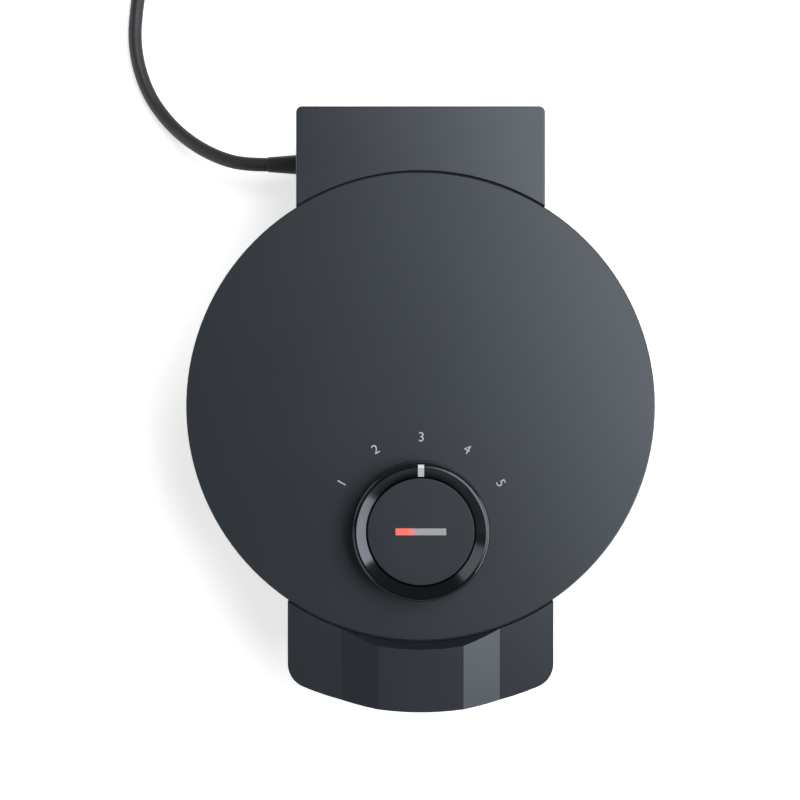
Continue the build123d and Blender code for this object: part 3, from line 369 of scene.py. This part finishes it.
class LayCord(bpy.types.Operator):
    """Lay the mains cord along the table and wind its spare length"""

    bl_idname = "waffle_iron.cord"
    bl_label = "Mains cord"

    def execute(self, context):
        sizes = context.scene.waffle_iron_cord
        points = list(ROUTE)
        turns = sizes.turns_in + sizes.turns_out
        half_step = math.pi / COIL_POINTS_PER_TURN
        # Control points stand just outside the turns, so that the cord itself runs on them
        for index in range(round(turns * COIL_POINTS_PER_TURN)):
            point, out, _ = coil_place(sizes, (index + 0.5) / COIL_POINTS_PER_TURN)
            points.append(point + out * sizes.coil_radius * (1 / math.cos(half_step) - 1))
        points.append(plug_face(sizes))
        line = bpy.data.curves.new("mains_cord", "CURVE")
        line.dimensions = "3D"
        line.bevel_depth = sizes.diameter / 2
        line.bevel_resolution = 8
        line.resolution_u = 16
        line.use_fill_caps = True
        spline = line.splines.new("NURBS")
        spline.points.add(len(points) - 1)
        for place, point in zip(spline.points, points):
            place.co = (*point, 1.0)
        spline.order_u = 3
        spline.use_endpoint_u = True
        cord = bpy.data.objects.new("mains_cord", line)
        context.scene.collection.objects.link(cord)
        # Extruded PVC: satin, even, with a faint long waviness from the die
        sheath = make_finish(
            "Extruded PVC cord sheath",
            context.scene.waffle_iron_colours.cord,
            mottle=18,
            grain=1.4,
            depth=0.02,
            rough=(0.5, 0.58),
        )
        line.materials.append(sheath)
        strap = self.strap()
        clips = self.earth_clips()
        socket = self.earth_socket()
        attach(cord, "base")
        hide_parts("cord", "cord_coil")
        dress(sheath, "cord_tail")
        return {"FINISHED"}

    def strap(self):
        """Hook-and-loop strap round the coil, its end lapped over the top"""
        low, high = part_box("cord_tie")
        corner = 4.8 * MM
        corner_steps = 8
        lap_rise = 0.76
        lap_width = 0.96
        loop = []
        centres = [
            (high[0] - corner, high[2] - corner, 0.0),
            (low[0] + corner, high[2] - corner, 0.25),
            (low[0] + corner, low[2] + corner, 0.5),
            (high[0] - corner, low[2] + corner, 0.75),
        ]
        for x, z, share in centres:
            for step in range(corner_steps + 1):
                angle = 2 * math.pi * (share + 0.25 * step / corner_steps)
                out = Vector((math.cos(angle), 0, math.sin(angle)))
                loop.append((Vector((x, 0, z)) + out * corner, out))
        middle = (low[1] + high[1]) / 2
        half = (high[1] - low[1]) / 2
        # Across the strap: distance from its middle as a share, and depth below its face in mm
        section = [(-1, 0.4), (-0.95, 0.05), (0.95, 0.05), (1, 0.4), (0.95, 0.78), (-0.95, 0.78)]
        points = []
        faces = []
        count = len(section)
        for place, out in loop:
            for share, depth in section:
                points.append(place - out * depth * MM + Vector((0, middle + share * half, 0)))
        for index in range(len(loop)):
            here = index * count
            there = (index + 1) % len(loop) * count
            for side in range(count):
                beside = (side + 1) % count
                faces.append((here + side, here + beside, there + beside, there + side))
        # The lapped end lies on the top and over the first corner, with a rounded tip
        start = len(points)
        lap = loop[11:2:-1]
        tip = (0.45, 0.8, 0.95)
        widths = tip + (1,) * (len(lap) - len(tip))
        for (place, out), width in zip(reversed(lap), widths):
            for share, depth in section:
                across = middle + share * half * lap_width * width
                points.append(place - out * (depth - lap_rise) * MM + Vector((0, across, 0)))
        for index in range(len(lap) - 1):
            here = start + index * count
            there = here + count
            for side in range(count):
                beside = (side + 1) % count
                faces.append((here + side, here + beside, there + beside, there + side))
        faces.append([start + side for side in range(count)])
        faces.append([start + (len(lap) - 1) * count + side for side in range(count)])
        strap = add_mesh("coil_strap", points, faces)
        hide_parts("cord_tie")
        # Woven nylon: dull black, its loops drawn at about 1 mm so that they show
        strap.data.materials.append(
            make_finish(
                "Woven nylon strap",
                linear("1C1C1E"),
                mottle=3,
                grain=1.0,
                depth=0.12,
                tones=(0.7, 1.4),
                rough=(0.75, 0.9),
            )
        )
        return strap

    def earth_clips(self):
        """Two sprung brass strips in the plug's side slots"""
        middle = middle_of("plug_pins")
        # Distance from the plug's axis and height, in mm: a strip bowed outward, its top rolled in
        bow = [(16.45, 8.4), (17.0, 10.0), (17.8, 13.5), (18.1, 17.0), (17.9, 20.5), (17.3, 23.5)]
        bow += [(16.9, 24.6), (16.4, 25.3), (15.9, 25.4)]
        thickness = 0.7
        half_width = 2.3
        half_end = 1.9
        points = []
        faces = []
        for side in (-1, 1):
            for index, (away, height) in enumerate(bow):
                ahead = bow[min(index + 1, len(bow) - 1)]
                behind = bow[max(index - 1, 0)]
                rise = Vector((ahead[0] - behind[0], ahead[1] - behind[1])).normalized()
                inward = Vector((-rise.y, rise.x)) * thickness
                half = half_width if 0 < index < len(bow) - 1 else half_end
                for depth, x in ((0, -half), (0, half), (1, half), (1, -half)):
                    y = away + inward.x * depth
                    z = height + inward.y * depth
                    points.append(Vector((middle[0] + x * MM, middle[1] + side * y * MM, z * MM)))
            start = len(points) - 4 * len(bow)
            for index in range(len(bow) - 1):
                here = start + 4 * index
                there = here + 4
                for edge in range(4):
                    beside = (edge + 1) % 4
                    faces.append((here + edge, here + beside, there + beside, there + edge))
            faces.append([start + edge for edge in range(4)])
            faces.append([len(points) - 4 + edge for edge in range(4)])
        clips = add_mesh("plug_earth_clips", points, faces)
        clips.data.materials.append(self.brass())
        return clips

    def earth_socket(self):
        """Brass tube in the plug's earth hole"""
        middle = middle_of("plug_pins")
        hole_aside = 10 * MM
        hole_floor = 15.4 * MM
        base = Vector((middle[0] + hole_aside, middle[1], hole_floor))
        # Height and radius in mm: a tube whose mouth is rounded
        profile = [(0, 0.2), (0, 2.4), (8.6, 2.4), (8.9, 2.25), (8.9, 2.1)]
        profile += [(8.6, 1.95), (0.8, 1.95), (0.8, 0.2)]
        profile = [(up * MM, radius * MM) for up, radius in profile]
        points, faces = turned(profile, base, (0, 0, 1), 32)
        socket = add_mesh("plug_earth_socket", points, faces)
        socket.data.materials.append(self.brass())
        return socket

    def brass(self):
        """Rolled brass, bright and warm, with faint streaks along the strip"""
        name = "Rolled brass"
        found = bpy.data.materials.get(name)
        if found:
            return found
        return make_finish(
            name,
            linear("C9A86A"),
            mottle=3,
            grain=0.6,
            depth=0.004,
            tones=(0.85, 1.1),
            stretch=(1, 1, 0.2),
            rough=(0.22, 0.32),
            Metallic=1.0,
        )


class MakeRelief(bpy.types.Operator):
    """Turn the slim tapered strain relief"""

    bl_idname = "waffle_iron.relief"
    bl_label = "Strain relief"

    def execute(self, context):
        # Distance from the tip and radius in mm: a slim smooth taper, then the flange in the wall
        profile = [(0.0, 3.7), (0.0, 3.9), (0.15, 4.05), (0.4, 4.12)]
        profile += [(0.4 + 0.92 * step, 4.12 + 0.07 * step) for step in range(1, 25)]
        profile += [(23.4, 5.8), (23.5, 7.9), (25.9, 7.9), (26.0, 3.7)]
        points, faces = turned(
            [(far * MM, radius * MM) for far, radius in profile], ROUTE[0], (1, 0, 0), 48
        )
        relief = add_mesh("strain_relief_boot", points, faces, sharp=50)
        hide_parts("strain_relief")
        # Moulded soft PVC: duller than the cord, with a fine grain from the tool
        relief.data.materials.append(
            make_finish(
                "Moulded soft PVC relief",
                context.scene.waffle_iron_colours.cord,
                mottle=8,
                grain=0.6,
                depth=0.015,
                rough=(0.48, 0.56),
            )
        )
        return {"FINISHED"}


class FinishLid(bpy.types.Operator):
    """Give the round lid its satin lacquer"""

    bl_idname = "waffle_iron.lid"
    bl_label = "Lid"

    def execute(self, context):
        # Satin lacquer sprayed on steel: even slate, with a fine orange peel drawn coarser to show
        dress(
            make_finish(
                "Sprayed satin lacquer on steel",
                context.scene.waffle_iron_colours.lacquer,
                mottle=55,
                grain=1.1,
                depth=0.004,
                tones=(0.97, 1.03),
                rough=(0.37, 0.40),
                Specular_Tint=COOL,
                Coat_Weight=0.1,
                Coat_Roughness=0.42,
            ),
            "lid_disc",
        )
        return {"FINISHED"}


class FinishHousing(bpy.types.Operator):
    """Give the moulded housings their spark-eroded grain"""

    bl_idname = "waffle_iron.housing"
    bl_label = "Housings"

    def execute(self, context):
        colours = context.scene.waffle_iron_colours
        # Glass-filled PBT moulded in a spark-eroded tool: satin slate with a fine even grain
        dress(
            make_finish(
                "Moulded satin PBT",
                colours.housing,
                mottle=45,
                grain=0.9,
                depth=0.006,
                tones=(0.97, 1.03),
                rough=(0.34, 0.38),
                IOR=1.62,
                Specular_Tint=COOL,
            ),
            "base_shell",
            "lid_shell",
        )
        # The same plastic from a coarser tool: darker and dull, where nobody looks
        dress(
            make_finish(
                "Moulded matt PBT cover",
                colours.underside,
                mottle=20,
                grain=0.9,
                depth=0.03,
                rough=(0.58, 0.68),
            ),
            "bottom_cover",
            "lower_handle_cover",
            "upper_handle_cover",
            "lid_liner",
        )
        # Nitrile rubber, compression moulded: dull, with dusty patches
        dress(
            make_finish(
                "Moulded nitrile rubber foot",
                linear("1B1B1C"),
                mottle=6,
                grain=0.7,
                depth=0.03,
                tones=(0.8, 1.25),
                rough=(0.72, 0.86),
            ),
            "rubber_feet",
        )
        return {"FINISHED"}


class FinishDial(bpy.types.Operator):
    """Give the dial its polish, its white mark and its light bar"""

    bl_idname = "waffle_iron.dial"
    bl_label = "Dial"

    def execute(self, context):
        colours = context.scene.waffle_iron_colours
        # ABS from a polished tool: deep black gloss with a slow waviness
        dress(
            make_finish(
                "Polished black ABS",
                colours.dial,
                mottle=12,
                grain=9,
                depth=0.01,
                rough=(0.14, 0.2),
                Specular_Tint=COOL,
            ),
            "dial_ring",
        )
        # ABS from a satin tool: close to the lid in tone, duller
        dress(
            make_finish(
                "Moulded satin ABS cap",
                colours.housing,
                mottle=14,
                grain=0.8,
                depth=0.005,
                rough=(0.44, 0.5),
                Specular_Tint=COOL,
            ),
            "dial_cap",
        )
        # White ABS inlay: smooth, faintly grey in patches
        dress(
            make_finish(
                "Moulded white ABS inlay",
                linear("D4D6D8"),
                mottle=2,
                grain=0.8,
                depth=0.004,
                rough=(0.32, 0.4),
            ),
            "dial_pointer",
        )
        self.light_bar(colours)
        return {"FINISHED"}

    def light_bar(self, colours):
        """Acrylic light guide: lit red at its left end, fading to grey along its length"""
        guide = make_finish(
            "Moulded frosted acrylic light guide",
            colours.unlit,
            mottle=3,
            grain=0.8,
            depth=0.004,
            rough=(0.3, 0.38),
        )
        tree = guide.node_tree
        skin = next(node for node in tree.nodes if node.type == "BSDF_PRINCIPLED")
        place = next(node for node in tree.nodes if node.type == "TEX_COORD").outputs["Object"]
        along = add_node(tree, "ShaderNodeSeparateXYZ", {"Vector": place})
        # Full red over about the first fifth of the bar, then a fade to its middle
        fade = add_node(
            tree,
            "ShaderNodeMapRange",
            {
                "Value": along.outputs["X"],
                "From Min": -7.6 * MM,
                "From Max": -0.8 * MM,
                "To Min": 1.0,
                "To Max": 0.0,
            },
            interpolation_type="SMOOTHSTEP",
        )
        mixed = add_node(
            tree,
            "ShaderNodeMixRGB",
            {
                "Fac": fade.outputs["Result"],
                "Color1": opaque(colours.unlit),
                "Color2": opaque(colours.lit),
            },
        )
        glow = add_node(
            tree,
            "ShaderNodeMixRGB",
            {
                "Fac": fade.outputs["Result"],
                "Color1": (0, 0, 0, 1),
                "Color2": opaque(colours.lit),
            },
        )
        tree.links.new(mixed.outputs["Color"], skin.inputs["Base Color"])
        tree.links.new(glow.outputs["Color"], skin.inputs["Emission Color"])
        skin.inputs["Emission Strength"].default_value = 0.22
        dress(guide, "light_bar")


class PrintScale(bpy.types.Operator):
    """Print the numbers one to five round the dial"""

    bl_idname = "waffle_iron.scale"
    bl_label = "Scale"

    def execute(self, context):
        sizes = context.scene.waffle_iron_scale
        # Pad-printed ink: pale grey, dull, slightly uneven in cover
        ink = make_finish(
            "Pad-printed grey ink",
            context.scene.waffle_iron_colours.printing,
            mottle=1.2,
            grain=0.4,
            depth=0.004,
            tones=(0.85, 1.1),
            rough=(0.55, 0.65),
        )
        # The print stands a little right of the dial's axis and behind it
        middle = at(0.4, DIAL_Y + 0.3, LID_TOP)
        ink_height = 0.02 * MM
        # Height of a digit in the built-in font, as a share of its size
        digit_share = 0.69
        for number in range(1, 6):
            text = bpy.data.curves.new(f"scale_{number}", "FONT")
            text.body = str(number)
            text.size = sizes.height / digit_share
            text.align_x = "CENTER"
            text.align_y = "CENTER"
            text.extrude = ink_height
            text.resolution_u = 6
            text.materials.append(ink)
            digit = bpy.data.objects.new(f"scale_{number}", text)
            turn = -sizes.spread * (number - 3)
            digit.rotation_euler = (0, 0, turn)
            digit.location = middle + Vector(
                (-math.sin(turn) * sizes.radius, math.cos(turn) * sizes.radius, ink_height)
            )
            context.scene.collection.objects.link(digit)
            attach(digit, "lid")
        return {"FINISHED"}


class FinishPlates(bpy.types.Operator):
    """Coat the cooking plates and finish the heating parts"""

    bl_idname = "waffle_iron.plates"
    bl_label = "Plates and heating"

    def execute(self, context):
        colours = context.scene.waffle_iron_colours
        # Die-cast aluminium sprayed with PTFE: dark, satin, finely speckled
        dress(
            make_finish(
                "Cast aluminium with sprayed PTFE",
                colours.coating,
                mottle=1.6,
                grain=0.7,
                depth=0.02,
                tones=(0.8, 1.25),
                rough=(0.38, 0.5),
            ),
            "lower_plate",
            "upper_plate",
        )
        # Drawn steel tube after heating: brown and blue patches over dull grey
        dress(
            make_finish(
                "Drawn steel heating tube",
                linear("6A6058"),
                mottle=14,
                grain=0.8,
                depth=0.01,
                tones=(0.6, 1.2),
                rough=(0.4, 0.6),
                Metallic=0.9,
            ),
            "lower_element",
            "upper_element",
        )
        # Aluminised sheet, pressed: bright and streaked along the rolling
        dress(
            make_finish(
                "Rolled aluminised steel sheet",
                linear("BFC1C2"),
                mottle=2.4,
                grain=0.8,
                depth=0.006,
                tones=(0.85, 1.08),
                stretch=(0.06, 1, 1),
                rough=(0.3, 0.42),
                Metallic=1.0,
            ),
            "lower_heat_shield",
            "upper_heat_shield",
            "thermostat_bracket",
        )
        return {"FINISHED"}


class FinishFittings(bpy.types.Operator):
    """Finish the screws, pins, leads and inner fittings"""

    bl_idname = "waffle_iron.fittings"
    bl_label = "Fittings"

    def execute(self, context):
        # Zinc-plated steel: bluish bright metal, slightly cloudy
        dress(
            make_finish(
                "Zinc-plated steel",
                linear("B9BEC4"),
                mottle=1.5,
                grain=0.5,
                depth=0.006,
                tones=(0.85, 1.08),
                rough=(0.28, 0.4),
                Metallic=1.0,
            ),
            "cover_screws",
            "lower_plate_screws",
            "upper_plate_screws",
            "liner_screws",
            "cap_screws",
            "bracket_screws",
            "cord_clamp",
        )
        # Turned steel: fine rings round the bar, drawn coarser to show
        dress(
            make_finish(
                "Turned steel",
                linear("A9A9A7"),
                mottle=3,
                grain=0.5,
                depth=0.008,
                stretch=(1, 0.2, 0.2),
                rough=(0.22, 0.34),
                Metallic=1.0,
            ),
            "hinge_pin",
            "dial_spindle",
        )
        # Nickel-plated brass: warm bright metal, drawn smooth
        dress(
            make_finish(
                "Nickel-plated brass",
                linear("C9C3B4"),
                mottle=4,
                grain=1.2,
                depth=0.004,
                rough=(0.14, 0.22),
                Metallic=1.0,
            ),
            "plug_pins",
        )
        # Nylon 66, moulded: milky white with a waxy sheen
        dress(
            make_finish(
                "Moulded nylon",
                linear("DAD8CF"),
                mottle=6,
                grain=0.8,
                depth=0.01,
                rough=(0.38, 0.5),
            ),
            "terminal_block",
        )
        # Extruded silicone rubber over glass braid: off-white and soft
        dress(
            make_finish(
                "Extruded silicone lead",
                linear("CFC9BC"),
                mottle=5,
                grain=0.6,
                depth=0.03,
                rough=(0.55, 0.65),
            ),
            "base_leads",
            "lid_leads",
            "lead_sleeve",
        )
        # Steatite, pressed and glazed: cream with a soft gloss
        dress(
            make_finish(
                "Glazed steatite",
                linear("E2DCCB"),
                mottle=4,
                grain=1.5,
                depth=0.02,
                rough=(0.16, 0.24),
            ),
            "thermostat",
            "thermal_fuse",
        )
        # Epoxy-glass laminate: green lacquer over a woven cloth
        dress(
            make_finish(
                "Epoxy-glass laminate",
                linear("2C5A38"),
                mottle=1.0,
                grain=0.5,
                depth=0.01,
                rough=(0.3, 0.4),
            ),
            "indicator_board",
        )
        # Moulded PVC of the plug: dull black with the tool's fine grain
        dress(
            make_finish(
                "Moulded soft PVC plug",
                context.scene.waffle_iron_colours.cord,
                mottle=9,
                grain=0.8,
                depth=0.02,
                rough=(0.48, 0.56),
            ),
            "plug",
        )
        return {"FINISHED"}


class SetStage(bpy.types.Operator):
    """Set the white floor, the lights and the surroundings"""

    bl_idname = "waffle_iron.stage"
    bl_label = "Floor and light"

    def execute(self, context):
        self.floor(context)
        self.surroundings(context)
        view = context.scene.waffle_iron_view
        # Name, place and aim in metres, width and height in metres, watts, and whether it lights
        # surfaces; the strips only shine in them, on the dial's bevel and the handle's ramps
        lamps = [
            ("key_light", (0.67, 0.27, 1.25), (0.0, 0.0, 0.08), 1.5, 0.9, view.key, True),
            ("fill_light", (-1.3, -0.7, 0.75), (0.0, 0.0, 0.05), 1.2, 0.6, view.fill, True),
            ("right_strip", (0.90, -0.19, 0.30), (0.0, -0.06, 0.10), 1.15, 0.3, 6.5, False),
            ("left_strip", (-0.81, 0.33, 0.30), (0.0, -0.06, 0.10), 0.62, 0.3, 1.2, False),
        ]
        for name, place, aim, width, height, power, lights_surfaces in lamps:
            light = bpy.data.lights.new(name, "AREA")
            light.shape = "RECTANGLE"
            light.size = width
            light.size_y = height
            light.energy = power
            lamp = bpy.data.objects.new(name, light)
            lamp.location = place
            way = Vector(aim) - Vector(place)
            lamp.rotation_euler = way.to_track_quat("-Z", "Y").to_euler()
            lamp.visible_camera = False
            lamp.visible_diffuse = lights_surfaces
            context.scene.collection.objects.link(lamp)
        return {"FINISHED"}

    def floor(self, context):
        """Pale floor that keeps the shadow, lifted to white for the camera and in reflections"""
        half = 6.0
        below = 0.0002
        lifted = 0.62
        plain_from, plain_to = 0.55, 1.2
        mesh = bpy.data.meshes.new("floor")
        corners = [(-half, -half, 0), (half, -half, 0), (half, half, 0), (-half, half, 0)]
        mesh.from_pydata(corners, [], [(0, 1, 2, 3)])
        floor = bpy.data.objects.new("floor", mesh)
        floor.location.z = -below
        context.scene.collection.objects.link(floor)
        material = bpy.data.materials.new("Painted white floor")
        material.use_nodes = True
        tree = material.node_tree
        tree.nodes.clear()
        rays = add_node(tree, "ShaderNodeLightPath")
        through = add_node(
            tree,
            "ShaderNodeMath",
            {0: rays.outputs["Is Glossy Ray"], 1: rays.outputs["Is Transmission Ray"]},
            operation="MAXIMUM",
        )
        seen = add_node(
            tree,
            "ShaderNodeMath",
            {0: rays.outputs["Is Camera Ray"], 1: through.outputs["Value"]},
            operation="MAXIMUM",
        )
        lift = add_node(
            tree,
            "ShaderNodeMath",
            {0: seen.outputs["Value"], 1: lifted},
            operation="MULTIPLY",
        )
        glow = add_node(
            tree,
            "ShaderNodeEmission",
            {"Color": (1, 1, 1, 1), "Strength": lift.outputs["Value"]},
        )
        paint = add_node(
            tree, "ShaderNodeBsdfDiffuse", {"Color": opaque(linear("EDEDED")), "Roughness": 0.5}
        )
        near = add_node(tree, "ShaderNodeAddShader")
        tree.links.new(paint.outputs["BSDF"], near.inputs[0])
        tree.links.new(glow.outputs["Emission"], near.inputs[1])
        # Far from the iron the floor turns plain white, so that no edge of it shows
        place = add_node(tree, "ShaderNodeTexCoord").outputs["Object"]
        reach = add_node(tree, "ShaderNodeVectorMath", {0: place}, operation="LENGTH")
        fade = add_node(
            tree,
            "ShaderNodeMapRange",
            {"Value": reach.outputs["Value"], "From Min": plain_from, "From Max": plain_to},
            interpolation_type="SMOOTHSTEP",
        )
        share = add_node(
            tree,
            "ShaderNodeMath",
            {0: fade.outputs["Result"], 1: seen.outputs["Value"]},
            operation="MULTIPLY",
        )
        white = add_node(tree, "ShaderNodeEmission", {"Color": (1, 1, 1, 1), "Strength": 1.0})
        chosen = add_node(tree, "ShaderNodeMixShader", {"Fac": share.outputs["Value"]})
        tree.links.new(near.outputs["Shader"], chosen.inputs[1])
        tree.links.new(white.outputs["Emission"], chosen.inputs[2])
        add_node(tree, "ShaderNodeOutputMaterial", {"Surface": chosen.outputs["Shader"]})
        mesh.materials.append(material)

    def surroundings(self, context):
        """White walls low around the table, under a dim ceiling"""
        # Heights of a direction, 0 level and 1 straight up, where the walls end
        wall_from, wall_to = 0.05, 0.10
        world = bpy.data.worlds.new("surroundings")
        context.scene.world = world
        world.use_nodes = True
        tree = world.node_tree
        tree.nodes.clear()
        way = add_node(tree, "ShaderNodeTexCoord").outputs["Generated"]
        upward = add_node(tree, "ShaderNodeSeparateXYZ", {"Vector": way})
        strength = add_node(
            tree,
            "ShaderNodeMapRange",
            {
                "Value": upward.outputs["Z"],
                "From Min": wall_from,
                "From Max": wall_to,
                "To Min": 1.0,
                "To Max": context.scene.waffle_iron_view.world,
            },
            interpolation_type="SMOOTHSTEP",
        )
        sky = add_node(
            tree,
            "ShaderNodeBackground",
            {"Color": (1, 1, 1, 1), "Strength": strength.outputs["Result"]},
        )
        add_node(tree, "ShaderNodeOutputWorld", {"Surface": sky.outputs["Background"]})


class WaffleIronPanel(bpy.types.Panel):
    """Panel that lists the steps."""

    bl_idname = "VIEW3D_PT_waffle_iron"
    bl_label = "Waffle iron"
    bl_space_type = "VIEW_3D"
    bl_region_type = "UI"
    bl_category = "Waffle iron"

    def draw(self, context):
        for step in STEPS:
            self.layout.operator(step.bl_idname)
        for name in SETTINGS:
            group = getattr(context.scene, name)
            box = self.layout.box()
            for prop in group.__annotations__:
                box.prop(group, prop)


STEPS = (
    StandCamera,
    LayCord,
    MakeRelief,
    FinishLid,
    FinishHousing,
    FinishDial,
    PrintScale,
    FinishPlates,
    FinishFittings,
    SetStage,
)
SETTINGS = {
    "waffle_iron_colours": WaffleIronColours,
    "waffle_iron_cord": WaffleIronCord,
    "waffle_iron_scale": WaffleIronScale,
    "waffle_iron_view": WaffleIronView,
}
CLASSES = (*SETTINGS.values(), *STEPS, WaffleIronPanel)


def register():
    """Makes the settings, steps and panel known."""
    for kind in CLASSES:
        bpy.utils.register_class(kind)
    for name, kind in SETTINGS.items():
        setattr(bpy.types.Scene, name, PointerProperty(type=kind))


def unregister():
    """Takes the settings, steps and panel away."""
    for name in SETTINGS:
        delattr(bpy.types.Scene, name)
    for kind in reversed(CLASSES):
        bpy.utils.unregister_class(kind)


def main():
    """Runs every step in order."""
    register()
    for step in STEPS:
        group, name = step.bl_idname.split(".")
        getattr(getattr(bpy.ops, group), name)()
    bpy.context.view_layer.update()


if __name__ == "__main__":
    main()
